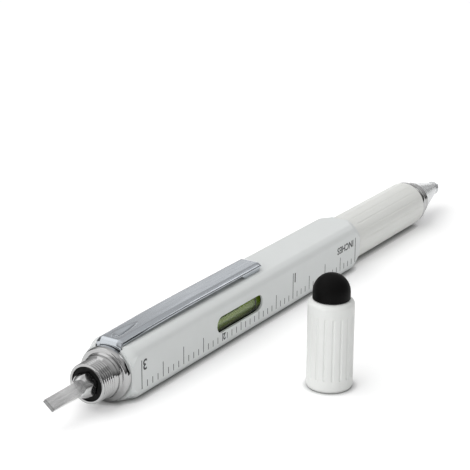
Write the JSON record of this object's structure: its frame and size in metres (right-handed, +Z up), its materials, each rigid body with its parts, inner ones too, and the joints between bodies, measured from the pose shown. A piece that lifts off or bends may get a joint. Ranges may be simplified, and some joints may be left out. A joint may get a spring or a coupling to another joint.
{
  "type": "multifunction pen",
  "caption": "Metal ballpoint pen with a square ruled barrel, a spirit level, a clip, a twist grip, a screwdriver bit at its rear and a stylus-tipped screw cap standing beside it.",
  "frame": {"origin": "middle of the barrel's underside, on the surface that the pen lies on", "axes": "+X along the pen towards the writing tip, +Z up through the pocket clip, -Y through the ruled face with the level window"},
  "size_m": [0.1447, 0.0381, 0.0211],
  "materials": {
    "white_lacquer": "semi-gloss",
    "chrome_trim": "polished",
    "satin_chrome": "satin",
    "bit_steel": "plated",
    "brass": "satin",
    "black_plastic": "moulded",
    "grey_plastic": "moulded",
    "vial_acrylic": "clear",
    "level_fluid": "tinted",
    "stylus_rubber": "matte"
  },
  "bodies": {
    "pen_body": {"barrel": "white_lacquer", "rear_collar": "chrome_trim", "bit_socket": "black_plastic", "vial_cradle": "black_plastic", "vial_tube": "vial_acrylic", "vial_fluid": "level_fluid", "vial_plug_rear": "vial_acrylic", "vial_plug_front": "vial_acrylic", "cam_guide": "grey_plastic", "nose_bush": "brass"},
    "twist_section": {"grip": "white_lacquer", "cam_sleeve": "brass", "snap_ring": "bit_steel", "nose_ring": "chrome_trim", "nose_cone": "satin_chrome"},
    "refill": {"refill_carrier": "black_plastic", "cross_pin": "bit_steel", "refill_tube": "brass", "refill_tip": "satin_chrome", "writing_ball": "bit_steel"},
    "bit": {"screwdriver_bit": "bit_steel"},
    "pocket_clip": {"clip": "chrome_trim"},
    "cap": {"cap_shell": "white_lacquer", "stylus_tip": "stylus_rubber", "stylus_plug": "grey_plastic"}
  },
  "joints": [
    {"name": "grip_twist", "type": "hinge", "parent": "pen_body", "child": "twist_section", "pos_m": [0.0406, 0, 0.005], "axis": [1, 0, 0], "range_deg": [0, 180]},
    {"name": "refill_slide", "type": "slide", "parent": "pen_body", "child": "refill", "axis": [1, 0, 0], "range_m": [-0.005, 0]},
    {"name": "bit_pull", "type": "slide", "parent": "pen_body", "child": "bit", "axis": [-1, 0, 0], "range_m": [0, 0.025]},
    {"name": "clip_flex", "type": "hinge", "parent": "pen_body", "child": "pocket_clip", "pos_m": [-0.0403, 0, 0.0101], "axis": [0, -1, 0], "range_deg": [0, 4], "stiffness_Nm_per_rad": 2},
    {"name": "cap_lift", "type": "slide", "parent": "pen_body", "child": "cap", "axis": [0, 0, 1], "range_m": [0, 0.06]}
  ],
  "couplings": [
    {"joint": "refill_slide", "follows": "grip_twist", "m_per_rad": -0.0015915}
  ]
}
